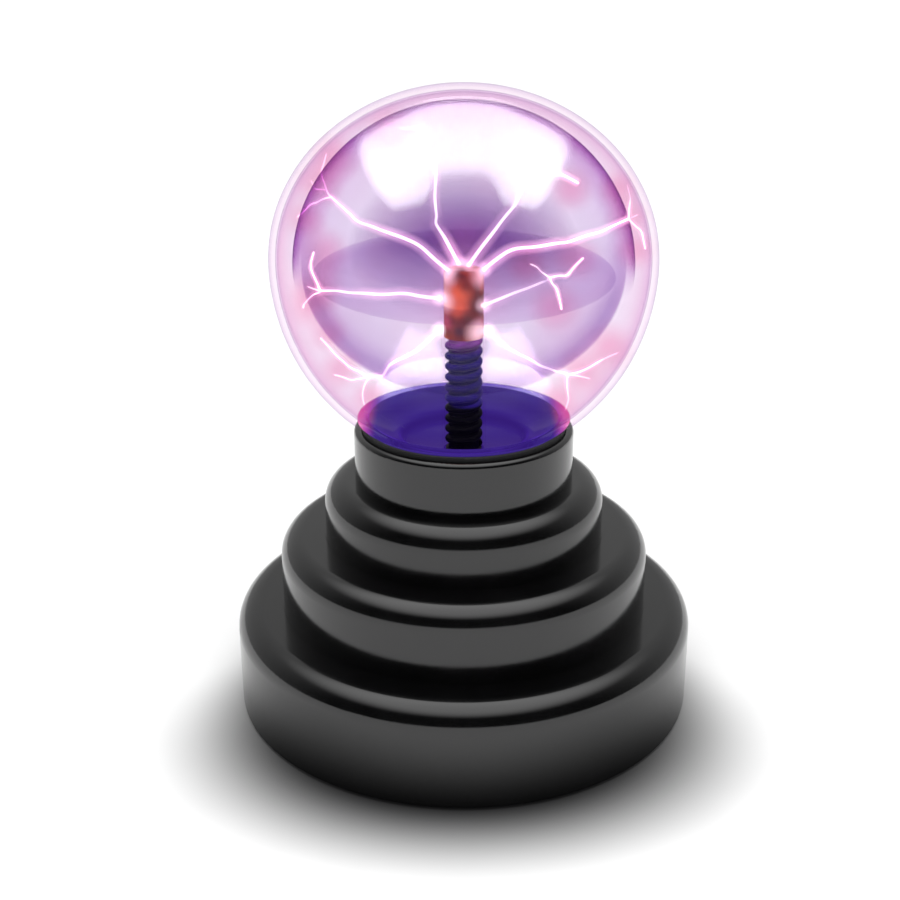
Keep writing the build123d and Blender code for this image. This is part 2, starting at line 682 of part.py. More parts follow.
def switch_knob():
    """At the end of its travel towards +X, which is on."""
    centre = SWITCH_X + KNOB_TRAVEL / 2
    half_x, half_z = KNOB_WIDTH / 2, KNOB_HEIGHT / 2
    low, high = CONTROL_Z - half_z, CONTROL_Z + half_z
    knob = block(centre - half_x, centre + half_x, KNOB_LOW_Y, KNOB_HIGH_Y, low, high)
    for x in (centre - 1.2, centre, centre + 1.2):
        knob -= block(x - 0.25, x + 0.25, KNOB_HIGH_Y - 0.5, KNOB_HIGH_Y + 1, low - 1, high + 1)
    return knob


def power_socket():
    left, right = SOCKET_X - SOCKET_HALF, SOCKET_X + SOCKET_HALF
    low, high = CONTROL_Z - SOCKET_HALF, CONTROL_Z + SOCKET_HALF
    form = block(left, right, CONTROL_BACK, PAD_Y - FIT, low, high)
    form += peg_y(SOCKET_X, CONTROL_Z, PAD_Y - 0.5, PANEL_Y - FIT, BUSHING_RADIUS)
    return form - peg_y(SOCKET_X, CONTROL_Z, CONTROL_BACK + SOCKET_FLOOR, PANEL_Y, SOCKET_BORE)


def socket_pin():
    pin = peg_y(SOCKET_X, CONTROL_Z, CONTROL_BACK + SOCKET_FLOOR, PANEL_Y - 1.2, 1.05)
    tip = pin.edges().filter_by(GeomType.CIRCLE).sort_by(Axis.Y)[-1]
    return fillet(tip, 0.5)


NODES = [
    glass_globe, glass_stem, exhaust_tip,
    electrode_core, electrode_sleeve, electrode_coil, electrode_cap, electrode_terminal,
    collar, globe_gasket, globe_cradle,
    upper_tier, middle_tier, bottom_tier,
    base_plate, battery_door, battery_cells, battery_springs, battery_contacts, rubber_feet,
    case_screws, collar_screws, board_screws,
    driver_board, transformer_base, transformer_core, transformer_bobbin, transformer_winding,
    heat_sink, power_transistor, reservoir_capacitor, film_capacitor, timer_chip, resistors,
    high_voltage_lead, battery_leads, control_leads,
    control_board, switch_body, switch_knob, power_socket, socket_pin,
]

os.makedirs("parts", exist_ok=True)
for make in NODES:
    export_step(make(), f"parts/{make.__name__}.step")
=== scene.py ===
import json
import math
import random

import bmesh
import bpy
from mathutils import Euler, Matrix, Vector


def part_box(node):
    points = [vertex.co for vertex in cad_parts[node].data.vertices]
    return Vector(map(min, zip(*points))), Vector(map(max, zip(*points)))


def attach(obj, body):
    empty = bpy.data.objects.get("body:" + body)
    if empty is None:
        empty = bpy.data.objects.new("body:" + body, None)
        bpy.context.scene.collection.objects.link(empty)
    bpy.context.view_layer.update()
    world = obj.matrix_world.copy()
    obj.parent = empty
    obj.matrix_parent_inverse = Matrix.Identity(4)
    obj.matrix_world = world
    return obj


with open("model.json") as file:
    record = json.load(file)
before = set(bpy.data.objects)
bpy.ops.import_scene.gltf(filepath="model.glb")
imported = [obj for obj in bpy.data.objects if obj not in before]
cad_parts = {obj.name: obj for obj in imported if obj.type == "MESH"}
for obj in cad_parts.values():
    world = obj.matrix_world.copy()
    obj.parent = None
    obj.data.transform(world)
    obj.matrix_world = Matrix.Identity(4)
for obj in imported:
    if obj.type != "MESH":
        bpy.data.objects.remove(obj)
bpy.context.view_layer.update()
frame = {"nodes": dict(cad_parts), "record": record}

# ---------------------------------------------------------------- sizes, in metres
MM = 0.001
NODES = frame["nodes"]

GLOBE_LOW, GLOBE_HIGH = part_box("glass_globe")
GLOBE_RADIUS = GLOBE_HIGH.x
CROWN = 35.3 * MM                       # globe's height above its widest ring
BOWL = 42.0 * MM                        # and the depth of the bowl below it
WIDEST = GLOBE_HIGH.z - CROWN
WALL = 1.4 * MM
COLLAR_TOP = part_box("collar")[1].z
CAP_LOW, CAP_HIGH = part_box("electrode_cap")
LINING_TOP = COLLAR_TOP + 2.2 * MM      # upper edge of the bowl's lining with its painted violet glow
NECK_TOP = 61.5 * MM                    # where that lining drops into the neck
PAINTED_VIOLET_FROM = 67.2 * MM                  # the electrode's painted violet light ends at this height; painted shade leaves it black below

# ---------------------------------------------------------------- camera
scene = bpy.context.scene
scene.view_settings.view_transform = "Standard"
scene.view_settings.look = "None"
scene.cycles.max_bounces = 24
scene.cycles.transparent_max_bounces = 96
scene.cycles.glossy_bounces = 6
scene.cycles.transmission_bounces = 16

view = bpy.data.cameras.new("view")
view.lens = 52.0
view.sensor_width = 36.0
view.shift_x = -0.0153
view.shift_y = -0.0167
view.clip_start = 0.01
view.clip_end = 200
camera = bpy.data.objects.new("view", view)
camera.location = (0, -0.26407, 0.15994)
camera.rotation_euler = Euler((math.radians(90 - 20.73), 0, 0))
scene.collection.objects.link(camera)
scene.camera = camera


# ---------------------------------------------------------------- node helpers
def add(tree, kind, inputs=None, **settings):
    """Adds a shader node. Inputs are values or sockets to link from."""
    node = tree.nodes.new("ShaderNode" + kind)
    for key, value in settings.items():
        setattr(node, key, value)
    for key, value in (inputs or {}).items():
        if isinstance(value, bpy.types.NodeSocket):
            tree.links.new(value, node.inputs[key])
        else:
            node.inputs[key].default_value = value
    return node


def maths(tree, operation, first, second=0.0, clamp=False):
    return add(tree, "Math", {0: first, 1: second}, operation=operation, use_clamp=clamp).outputs[0]


def ranged(tree, value, low, high, to_low=0.0, to_high=1.0):
    """A smooth step from one value to another as the input goes from low to high."""
    return add(tree, "MapRange", {"Value": value, "From Min": low, "From Max": high,
                                  "To Min": to_low, "To Max": to_high},
               interpolation_type="SMOOTHSTEP").outputs[0]


def colours(tree, value, stops, smooth=False):
    """A colour ramp from (place, colour) pairs."""
    node = add(tree, "ValToRGB", {"Fac": value})
    ramp = node.color_ramp
    ramp.interpolation = "EASE" if smooth else "LINEAR"
    while len(ramp.elements) < len(stops):
        ramp.elements.new(0.5)
    for element, (place, colour) in zip(ramp.elements, stops):
        element.position = place
        element.color = (*colour, 1)
    return node.outputs[0]


def blended(tree, factor, first, second):
    """The first colour where the factor is 0 and the second where it is 1."""
    node = add(tree, "Mix", data_type="RGBA")
    for socket, value in (("Factor", factor), ("A", first), ("B", second)):
        target = [s for s in node.inputs if s.name == socket
                  and (s.type == "VALUE" if socket == "Factor" else s.type == "RGBA")][0]
        if isinstance(value, bpy.types.NodeSocket):
            tree.links.new(value, target)
        else:
            target.default_value = (*value, 1) if isinstance(value, tuple) else value
    return [s for s in node.outputs if s.type == "RGBA"][0]


def noise(tree, scale, detail=2.0, rough=0.5, vector=None):
    inputs = {"Scale": scale, "Detail": detail, "Roughness": rough}
    inputs["Vector"] = vector or add(tree, "TexCoord").outputs["Object"]
    return add(tree, "TexNoise", inputs).outputs["Fac"]


def height_above(tree, level):
    """How far a point is above a level, in millimetres."""
    place = add(tree, "TexCoord").outputs["Object"]
    z = add(tree, "SeparateXYZ", {"Vector": place}).outputs["Z"]
    return maths(tree, "MULTIPLY", maths(tree, "SUBTRACT", z, level), 1000.0)


def new_material(name):
    material = bpy.data.materials.new(name)
    material.use_nodes = True
    material.node_tree.nodes.clear()
    return material, material.node_tree


def close_material(tree, shader):
    add(tree, "OutputMaterial", {"Surface": shader})


# ---------------------------------------------------------------- opaque finishes
def finish(name, colour, rough=0.4, metal=0.0, vary=0.2, spot=600.0, grain=4000.0, bump=0.1,
           depth=0.00003, specular=0.5, stretch=None):
    """A moulded, metal or paper surface with uneven colour, uneven gloss and a fine grain."""
    material, tree = new_material(name)
    place = add(tree, "TexCoord").outputs["Object"]
    if stretch:
        place = add(tree, "Mapping", {"Vector": place, "Scale": stretch}).outputs[0]
    patch = noise(tree, spot, 3.0, 0.6, place)
    fine = noise(tree, grain, 2.0, 0.5, place)
    dark = tuple(c * (1 - vary) for c in colour)
    light = tuple(min(c * (1 + vary), 1) for c in colour)
    shade = colours(tree, patch, [(0.3, dark), (0.7, light)])
    gloss = ranged(tree, patch, 0.25, 0.75, rough * 0.82, rough * 1.2)
    relief = add(tree, "Bump", {"Strength": bump, "Distance": depth, "Height": fine}).outputs[0]
    shader = add(tree, "BsdfPrincipled", {"Base Color": shade, "Metallic": metal,
                                          "Roughness": gloss, "Normal": relief,
                                          "Specular IOR Level": specular})
    close_material(tree, shader.outputs[0])
    return material


def board_green():
    material, tree = new_material("board_green")
    place = add(tree, "TexCoord").outputs["Object"]
    cells = add(tree, "TexVoronoi", {"Vector": place, "Scale": 420.0}, feature="DISTANCE_TO_EDGE",
                distance="MANHATTAN").outputs["Distance"]
    track = ranged(tree, cells, 0.04, 0.07)
    shade = blended(tree, track, (0.02, 0.16, 0.05), (0.008, 0.09, 0.03))
    relief = add(tree, "Bump", {"Strength": 0.4, "Distance": 0.00003, "Height": track},
                 invert=True).outputs[0]
    shader = add(tree, "BsdfPrincipled", {"Base Color": shade, "Roughness": 0.32, "Normal": relief})
    close_material(tree, shader.outputs[0])
    return material


def wound(name, colour, metal, turns):
    """Fine wire laid side by side, as on a coil former."""
    material, tree = new_material(name)
    place = add(tree, "TexCoord").outputs["Object"]
    wave = add(tree, "TexWave", {"Vector": place, "Scale": turns, "Distortion": 0.4,
                                 "Detail": 1.0}, bands_direction="Z").outputs["Fac"]
    shade = blended(tree, wave, tuple(c * 0.35 for c in colour), colour)
    relief = add(tree, "Bump", {"Strength": 0.6, "Distance": 0.00008, "Height": wave}).outputs[0]
    shader = add(tree, "BsdfPrincipled", {"Base Color": shade, "Metallic": metal, "Roughness": 0.3,
                                          "Normal": relief})
    close_material(tree, shader.outputs[0])
    return material


def jacketed():
    """A cell's printed sleeve: dark, with a copper end, and no words."""
    material, tree = new_material("cell_jacket")
    place = add(tree, "TexCoord").outputs["Object"]
    x = add(tree, "SeparateXYZ", {"Vector": place}).outputs["X"]
    end = ranged(tree, maths(tree, "ABSOLUTE", x), 0.0125, 0.0128)
    wear = noise(tree, 900.0, 3.0)
    dark = blended(tree, wear, (0.012, 0.012, 0.014), (0.03, 0.03, 0.034))
    copper = blended(tree, wear, (0.5, 0.2, 0.08), (0.66, 0.3, 0.13))
    shade = blended(tree, end, dark, copper)
    shader = add(tree, "BsdfPrincipled", {"Base Color": shade, "Roughness": 0.25,
                                          "Metallic": maths(tree, "MULTIPLY", end, 0.8)})
    close_material(tree, shader.outputs[0])
    return material


FINISHES = {
    "gloss_black": finish("gloss_black", (0.0022, 0.0022, 0.0024), 0.13, vary=0.25, spot=90.0,
                          grain=1600.0, bump=0.02, specular=0.66),
    "satin_black": finish("satin_black", (0.012, 0.012, 0.013), 0.5, grain=2600.0, bump=0.35,
                          depth=0.00006),
    "rubber_black": finish("rubber_black", (0.007, 0.007, 0.008), 0.62, vary=0.3, bump=0.25,
                           specular=0.3),
    "knob_black": finish("knob_black", (0.01, 0.01, 0.011), 0.42, bump=0.3),
    "brass": finish("brass", (0.72, 0.5, 0.2), 0.28, 1.0, bump=0.1, stretch=(1, 1, 0.15)),
    "plated_steel": finish("plated_steel", (0.62, 0.6, 0.56), 0.24, 1.0, stretch=(1, 1, 0.2)),
    "screw_steel": finish("screw_steel", (0.5, 0.5, 0.48), 0.32, 1.0),
    "component_black": finish("component_black", (0.015, 0.015, 0.016), 0.45, bump=0.3),
    "ferrite": finish("ferrite", (0.045, 0.043, 0.042), 0.6, vary=0.35, bump=0.4),
    "bobbin_white": finish("bobbin_white", (0.72, 0.7, 0.62), 0.45, vary=0.06),
    "heat_sink_aluminium": finish("heat_sink_aluminium", (0.66, 0.67, 0.68), 0.36, 1.0,
                                  stretch=(1, 1, 0.08), bump=0.3),
    "capacitor_sleeve": finish("capacitor_sleeve", (0.012, 0.016, 0.05), 0.3),
    "film_red": finish("film_red", (0.4, 0.03, 0.02), 0.3),
    "resistor_tan": finish("resistor_tan", (0.52, 0.36, 0.2), 0.45),
    "lead_white": finish("lead_white", (0.7, 0.7, 0.68), 0.4, vary=0.06),
    "lead_red": finish("lead_red", (0.45, 0.015, 0.012), 0.4),
    "lead_black": finish("lead_black", (0.012, 0.012, 0.012), 0.4),
    "board_green": board_green(),
    "copper_winding": wound("copper_winding", (0.72, 0.28, 0.12), 0.9, 900.0),
    "cell_jacket": jacketed(),
}


# ---------------------------------------------------------------- clear and glowing finishes, with painted glow on the cap, electrode and bowl
def facing_of(tree):
    return add(tree, "LayerWeight", {"Blend": 0.5}).outputs["Facing"]


def violet(tree):
    """The glossy foot of the globe, its violet glow painted on as emission, with faint rings in
    that painted glow and a painted warm glow at its ends.
    """
    place = add(tree, "TexCoord").outputs["Object"]
    parts = add(tree, "SeparateXYZ", {"Vector": place})
    rise = height_above(tree, COLLAR_TOP)
    painted_glow_rings = add(tree, "TexWave", {"Vector": place, "Scale": 95.0, "Distortion": 0.6,
                                  "Detail": 1.0}, bands_direction="Z").outputs["Fac"]
    body = blended(tree, maths(tree, "MULTIPLY", painted_glow_rings, 0.35), (0.034, 0.012, 0.19),
                   (0.052, 0.025, 0.28))
    side = maths(tree, "ABSOLUTE", parts.outputs["X"])
    painted_warm_glow = maths(tree, "MULTIPLY", ranged(tree, side, 0.0185, 0.0228),
                 ranged(tree, rise, -3.0, 2.0))
    # Painted warm glow towards the bowl's left and right ends.
    glow = blended(tree, painted_warm_glow, body, (0.72, 0.08, 0.16))
    # All of the bowl's colour is painted glow: emission over a near-black base.
    return add(tree, "BsdfPrincipled", {"Base Color": (0.006, 0.003, 0.03, 1), "Roughness": 0.12,
                                        "Specular IOR Level": 0.05, "Emission Color": glow,
                                        "Emission Strength": 1.0}).outputs[0]


def glass(name, rim, mirror=0.006, edge=0.06, lined_to=None):
    """Thin clear glass: it lets light straight through, is tinted at its rim, and mirrors."""
    material, tree = new_material(name)
    facing = facing_of(tree)
    tint = colours(tree, facing, rim)
    clear = add(tree, "BsdfTransparent", {"Color": tint}).outputs[0]
    smear = noise(tree, 35.0, 4.0)
    shine = add(tree, "BsdfGlossy", {"Color": (1, 1, 1, 1),
                                     "Roughness": ranged(tree, smear, 0.3, 0.8, 0.0, 0.03),
                                     }).outputs[0]
    grazing = maths(tree, "POWER", facing, 5.0)
    share = maths(tree, "ADD", maths(tree, "MULTIPLY", grazing, edge), mirror, clamp=True)
    share = maths(tree, "MULTIPLY", share, ranged(tree, height_above(tree, COLLAR_TOP), 1.8, 5.0))
    shader = add(tree, "MixShader", {0: share, 1: clear, 2: shine}).outputs[0]
    if lined_to is not None:
        # Below the lining's top, the glass shows the bowl's painted violet glow.
        lined = ranged(tree, height_above(tree, lined_to), 0.0, -0.25)
        shader = add(tree, "MixShader", {0: lined, 1: shader, 2: violet(tree)}).outputs[0]
    close_material(tree, shader)
    return material


def soft(name, tint, glow=(0, 0, 0), strength=0.0, power=1.0, far=False):
    """Gas that is thickest face on and fades to nothing at its edge.

    A far one tints mostly where the line of sight leaves it, so what is inside keeps its colour.
    """
    material, tree = new_material(name)
    depth = maths(tree, "POWER", maths(tree, "SUBTRACT", 1.0, facing_of(tree)), power)
    if far:
        leaving = add(tree, "NewGeometry").outputs["Backfacing"]
        tint = blended(tree, leaving, tuple(c ** 0.3 for c in tint), tuple(c ** 1.7 for c in tint))
    clear = add(tree, "BsdfTransparent", {"Color": blended(tree, depth, (1.0, 1.0, 1.0), tint)})
    light = add(tree, "Emission", {"Color": (*glow, 1),
                                   "Strength": maths(tree, "MULTIPLY", depth, strength)})
    both = add(tree, "AddShader", {0: clear.outputs[0], 1: light.outputs[0]})
    close_material(tree, both.outputs[0])
    return material


def gas_wall():
    """Lavender gas against the glass: pale in the middle and pink towards the rim."""
    material, tree = new_material("gas_wall")
    facing = facing_of(tree)
    body = colours(tree, facing, [
        (0.0, (0.94, 0.925, 0.965)), (0.42, (0.93, 0.9, 0.955)), (0.56, (0.93, 0.875, 0.94)),
        (0.7, (0.93, 0.85, 0.92)), (0.82, (0.925, 0.83, 0.915)), (1.0, (0.86, 0.78, 0.89))])
    patch = ranged(tree, noise(tree, 42.0, 2.0), 0.46, 0.68)
    pink = blended(tree, maths(tree, "MULTIPLY", patch, 0.4), body, (0.985, 0.86, 0.92))
    close_material(tree, add(tree, "BsdfTransparent", {"Color": pink}).outputs[0])
    return material


def bubble():
    """The inner skin of the glow: faint in the middle, magenta to violet at its upper edge."""
    material, tree = new_material("gas_bubble")
    facing = facing_of(tree)
    upper = colours(tree, facing, [
        (0.0, (0.93, 0.9, 0.955)), (0.45, (0.91, 0.86, 0.94)), (0.66, (0.82, 0.7, 0.87)),
        (0.8, (0.68, 0.46, 0.74)), (0.93, (0.48, 0.24, 0.55)), (1.0, (0.33, 0.15, 0.44))])
    lower = colours(tree, facing, [
        (0.0, (0.93, 0.89, 0.95)), (0.4, (0.85, 0.78, 0.89)), (0.56, (0.7, 0.59, 0.79)),
        (0.66, (0.74, 0.63, 0.81)), (0.7, (1.0, 1.0, 1.0)), (1.0, (1.0, 1.0, 1.0))])
    level = ranged(tree, height_above(tree, WIDEST), -5.0, 3.0)
    tint = blended(tree, level, lower, upper)
    close_material(tree, add(tree, "BsdfTransparent", {"Color": tint}).outputs[0])
    return material


# Painted light on the cap, as emission: where it glows or stays dark, the place in millimetres
# (from the axis, and from the cap's middle in Z), how far the spot reaches, and its colour.
CAP_PAINTED_GLOW_SPOTS = [
    ((-1.2, -3.9, 2.6), 4.4, (0.95, 0.15, 0.04)), ((-0.9, -4.1, -0.4), 3.4, (0.85, 0.13, 0.05)),
    ((0.6, -4.0, 4.6), 2.6, (0.2, 0.02, 0.008)),
    ((3.2, -2.8, -0.5), 4.4, (0.08, 0.004, 0.01)), ((0.9, -4.1, -2.8), 3.0, (0.09, 0.008, 0.01)),
    ((-0.9, -4.1, -5.2), 3.6, (0.03, 0.0015, 0.03)), ((-3.6, -2.1, -3.6), 2.9, (0.5, 0.06, 0.12)),
    ((3.0, -2.9, -5.6), 3.9, (1.3, 0.85, 0.9)), ((-3.8, -1.8, 1.0), 3.8, (1.5, 0.95, 0.88)),
    ((3.6, -2.2, 6.2), 3.8, (1.4, 0.85, 0.8)), ((-3.6, -2.0, 6.2), 3.9, (1.5, 1.0, 0.95)),
    ((1.0, 3.9, 2.0), 5.0, (0.62, 0.1, 0.03)), ((-2.4, 3.4, -5.0), 3.6, (0.03, 0.0015, 0.03)),
    ((3.2, 2.7, -5.6), 2.8, (1.0, 0.6, 0.54)),
]


def cap_copper_painted_glow():
    """Copper with the discharge's light painted on as emission: a painted white glow in places,
    with dark patches between.
    """
    material, tree = new_material("copper")
    place = add(tree, "TexCoord").outputs["Object"]
    patch = noise(tree, 260.0, 1.5, 0.4)
    # Painted glow: dark red to orange-brown emission over the whole cap.
    glow = colours(tree, patch, [(0.38, (0.1, 0.006, 0.008)), (0.62, (0.36, 0.04, 0.016))],
                   smooth=True)
    middle = (CAP_LOW.z + CAP_HIGH.z) / 2
    for (x, y, z), reach, colour in CAP_PAINTED_GLOW_SPOTS:
        centre = (x * MM, y * MM, middle + z * MM)
        off = add(tree, "VectorMath", {0: place, 1: centre}, operation="DISTANCE").outputs["Value"]
        glow = blended(tree, ranged(tree, off, reach * MM, 0.0), glow, colour)
    relief = add(tree, "Bump", {"Strength": 0.15, "Distance": 0.00005,
                                "Height": noise(tree, 2600.0)}).outputs[0]
    shader = add(tree, "BsdfPrincipled", {"Base Color": (0.03, 0.006, 0.004, 1),
                                          "Roughness": 0.5, "Normal": relief,
                                          "Specular IOR Level": 0.1,
                                          "Emission Color": glow, "Emission Strength": 1.0})
    close_material(tree, shader.outputs[0])
    return material


def violet_light_painted(name, lit, rough):
    """A black part with the violet light of the gas painted on as emission, brighter on its upper
    side, with painted shade below where the bowl hides it.
    """
    material, tree = new_material(name)
    # Painted shade: the painted light gives way to black towards the lower end.
    level = ranged(tree, height_above(tree, PAINTED_VIOLET_FROM), 0.0, 0.6)
    # Painted pink glow just below the cap.
    pink = ranged(tree, height_above(tree, CAP_LOW.z), -3.6, 0.0)
    # Painted shading: faces turned up glow more than faces turned down.
    normal = add(tree, "NewGeometry").outputs["Normal"]
    up = add(tree, "SeparateXYZ", {"Vector": normal}).outputs["Z"]
    patch = ranged(tree, noise(tree, 500.0, 2.0), 0.3, 0.7, 0.8, 1.2)
    glow = blended(tree, pink, lit, (0.2, 0.05, 0.26))
    glow = blended(tree, level, (0.0006, 0.0003, 0.002), glow)
    strength = maths(tree, "MULTIPLY", patch, ranged(tree, up, -0.8, 0.6, 0.5, 1.2))
    relief = add(tree, "Bump", {"Strength": 0.2, "Distance": 0.00004,
                                "Height": noise(tree, 3000.0)}).outputs[0]
    shader = add(tree, "BsdfPrincipled", {"Base Color": (0.002, 0.002, 0.003, 1),
                                          "Roughness": rough, "Normal": relief,
                                          "Specular IOR Level": 0.02, "Emission Color": glow,
                                          "Emission Strength": strength})
    close_material(tree, shader.outputs[0])
    return material


def violet_glow_bowl():
    material, tree = new_material("violet_glow_bowl")
    close_material(tree, violet(tree))
    return material


CLEAR_RIM = [(0.0, (1.0, 1.0, 1.0)), (0.6, (0.985, 0.965, 0.985)), (0.8, (0.95, 0.88, 0.94)),
             (0.92, (0.85, 0.76, 0.87)), (1.0, (0.62, 0.55, 0.68))]
FINISHES["clear_glass"] = glass("clear_glass", CLEAR_RIM, lined_to=LINING_TOP)
FINISHES["copper"] = cap_copper_painted_glow()
FINISHES["dark_wire"] = violet_light_painted("dark_wire", (0.014, 0.006, 0.115), 0.35)
FINISHES["core_rod"] = violet_light_painted("core_rod", (0.005, 0.002, 0.05), 0.5)

for part in frame["record"]["subparts"]:
    piece = NODES[part["node"]]
    piece.data.materials.clear()
    piece.data.materials.append(FINISHES[part["material_slot"]])

STEM_RIM = [(0.0, (1.0, 1.0, 1.0)), (0.7, (0.99, 0.97, 0.99)), (1.0, (0.93, 0.85, 0.93))]
NODES["glass_stem"].data.materials[0] = glass("stem_glass", STEM_RIM, 0.004, 0.05)


# ---------------------------------------------------------------- shapes
def keep(piece, material, body="base"):
    """Puts a finished piece in the scene, riding on a body."""
    if piece.name not in scene.collection.objects:
        scene.collection.objects.link(piece)
    piece.data.materials.append(material)
    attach(piece, body)
    return piece


def lathe(name, outline, turns=144):
    """A skin turned about the axis, through (radius, height) pairs."""
    points, faces = [], []
    for radius, height in outline:
        for step in range(turns):
            angle = 2 * math.pi * step / turns
            points.append((radius * math.cos(angle), radius * math.sin(angle), height))
    for row in range(len(outline) - 1):
        for step in range(turns):
            after = (step + 1) % turns
            faces.append((row * turns + step, row * turns + after,
                          (row + 1) * turns + after, (row + 1) * turns + step))
    mesh = bpy.data.meshes.new(name)
    mesh.from_pydata(points, [], faces)
    form = bmesh.new()
    form.from_mesh(mesh)
    bmesh.ops.remove_doubles(form, verts=form.verts, dist=1e-7)
    form.to_mesh(mesh)
    form.free()
    mesh.shade_smooth()
    return bpy.data.objects.new(name, mesh)


def egg(radius, up, down, centre, floor=-90.0, steps=72):
    """Half an egg-shaped outline from a latitude up to the crown, as (radius, height) pairs."""
    pairs = []
    for step in range(steps + 1):
        angle = math.radians(floor + (90 - floor) * step / steps)
        rise = up if angle > 0 else down
        pairs.append((max(radius * math.cos(angle), 0.0), centre + rise * math.sin(angle)))
    return pairs


def bowl_radius(height, inset=0.0):
    """The globe's radius at a height below its widest ring, inside by an inset."""
    reach = min((WIDEST - height) / (BOWL - inset), 1.0)
    return (GLOBE_RADIUS - inset) * math.sqrt(1 - reach * reach)


# ---------------------------------------------------------------- gas inside the globe
HAZE_GAP = WALL + 0.35 * MM             # from the outside of the glass to the gas wall
HAZE = keep(lathe("gas_wall", egg(GLOBE_RADIUS - HAZE_GAP, CROWN - HAZE_GAP, BOWL - HAZE_GAP,
                                  WIDEST, -57)), gas_wall())
BUBBLE = keep(lathe("gas_bubble", egg(35.2 * MM, 33.3 * MM, 28.0 * MM, WIDEST - 1.2 * MM, -62)),
              bubble())
CORE = keep(lathe("gas_core", egg(24.0 * MM, 18.5 * MM, 13.0 * MM, WIDEST + 1.5 * MM)),
            soft("gas_core", (0.5, 0.33, 0.61), power=1.9, far=True))
DISC = keep(lathe("gas_disc", egg(31.4 * MM, 6.7 * MM, 6.7 * MM, WIDEST - 3.0 * MM)),
            soft("gas_disc", (0.81, 0.71, 0.87), power=0.35, far=True))

# The bowl lining: a sheet just inside the glass bowl that carries the painted violet glow.
LINING_GAP = WALL + 0.25 * MM
rows = [LINING_TOP - (LINING_TOP - NECK_TOP) * step / 10 for step in range(11)]
lining = [(bowl_radius(row, LINING_GAP), row) for row in rows]
lining += [(13.9 * MM, 60.9 * MM), (13.6 * MM, 60.0 * MM), (13.4 * MM, 58.2 * MM),
           (12.6 * MM, 57.4 * MM), (4.4 * MM, 57.0 * MM)]
keep(lathe("bowl_glow_lining", lining), violet_glow_bowl())

# ---------------------------------------------------------------- streamers
# Bends, in millimetres from the middle of the globe's widest ring: +X right, -Y front.
STREAMERS = [
    [[(-3, -2, -2), (-9, 4, 2), (-17, 9, 4), (-23, 14, 5), (-26, 18, 7), (-29, 21, 9)],
     [(-29, 21, 9), (-30, 19, 11), (-31, 13, 16), (-29, 7, 21)],
     [(-30, 19, 11), (-32, 14, 12), (-33, 10, 15)],
     [(-29, 21, 9), (-31, 18, 9), (-34, 15, 9), (-36, 10, 7)]],
    [[(-1, 0, -1), (-4, 3, 4), (-6, 8, 6), (-6, 13, 8), (-6, 22, 13), (-6, 25, 15), (-8, 28, 18),
      (-9, 25, 24), (-8, 18, 29), (-7, 8, 33)],
     [(-9, 25, 24), (-13, 23, 24), (-17, 18, 26)]],
    [[(1, -1, -1), (6, -6, 7), (10, -14, 14), (11, -19, 19), (13, -23, 22), (18, -23, 22),
      (22, -22, 20)]],
    [[(4, -1, -2), (10, -3, 3), (19, -7, 5), (22, -9, 6), (27, -11, 8), (32, -13, 11)],
     [(32, -13, 11), (33, -8, 14), (35, 0, 16)],
     [(32, -13, 11), (35, -8, 11)],
     [(32, -13, 11), (36, -9, 8), (37, -8, 4)]],
    [[(-5, -1, -8), (-12, -8, -5), (-20, -16, -3), (-24, -22, -1), (-27, -26, 0)],
     [(-27, -26, 0), (-28, -26, 1), (-30, -24, 4), (-29, -24, 7)],
     [(-27, -26, 0), (-30, -23, 0)],
     [(-27, -26, 0), (-29, -25, -1), (-32, -22, -4), (-32, -21, -5)]],
    [[(4, -3, -9), (10, -12, -4), (15, -23, 1), (16, -28, 3)],
     [(16, -28, 3), (14, -31, 5), (12, -34, 7)],
     [(16, -28, 3), (19, -31, 4), (22, -29, 7)],
     [(16, -28, 3), (17, -31, 2), (18, -32, -2)]],
    [[(-5, 0, -15), (-10, 4, -21), (-16, 8, -25), (-18, 11, -29), (-22, 13, -31)],
     [(-22, 13, -31), (-26, 11, -28), (-29, 10, -24), (-32, 9, -20)],
     [(-22, 13, -31), (-25, 7, -29), (-29, 3, -27)],
     [(-22, 13, -31), (-23, 7, -32), (-22, 1, -33)]],
    [[(5, -1, -15), (8, -4, -17), (11, -11, -17), (15, -19, -17), (18, -26, -16), (20, -28, -16)],
     [(20, -28, -16), (24, -25, -16), (27, -22, -15), (32, -16, -16)],
     [(20, -28, -16), (25, -22, -19)],
     [(20, -28, -16), (20, -26, -19), (21, -23, -23), (21, -20, -27)]],
]
CORE_GIRTH = 0.32 * MM
HALO_GIRTH = 1.4 * MM
MAIN_TAPER = (1.4, 0.7)                 # girth at the root and at the end, as shares
BRANCH_TAPER = (0.7, 0.3)
JITTER = 0.35 * MM
FIRST_SEED = 41
STREAMER_GAP = WALL + 1.2 * MM          # streamers stay this far in from the outside of the glass


def inside(point):
    """The point, pulled in if it lies too near the glass."""
    across = GLOBE_RADIUS - STREAMER_GAP
    rise = (CROWN if point.z > WIDEST else BOWL) - STREAMER_GAP
    reach = math.sqrt((point.x / across) ** 2 + (point.y / across) ** 2
                      + ((point.z - WIDEST) / rise) ** 2)
    if reach <= 1:
        return point
    return Vector((point.x / reach, point.y / reach, WIDEST + (point.z - WIDEST) / reach))


def placed(bends):
    return [inside(Vector(bend) * MM + Vector((0, 0, WIDEST))) for bend in bends]


def wander(points, amount, chance):
    """The same path with a small random bend between each two points."""
    path = [points[0]]
    for before, after in zip(points, points[1:]):
        drift = Vector([chance.uniform(-1, 1) for _ in range(3)]) * amount
        path += [inside(before.lerp(after, 0.5) + drift), after]
    return path


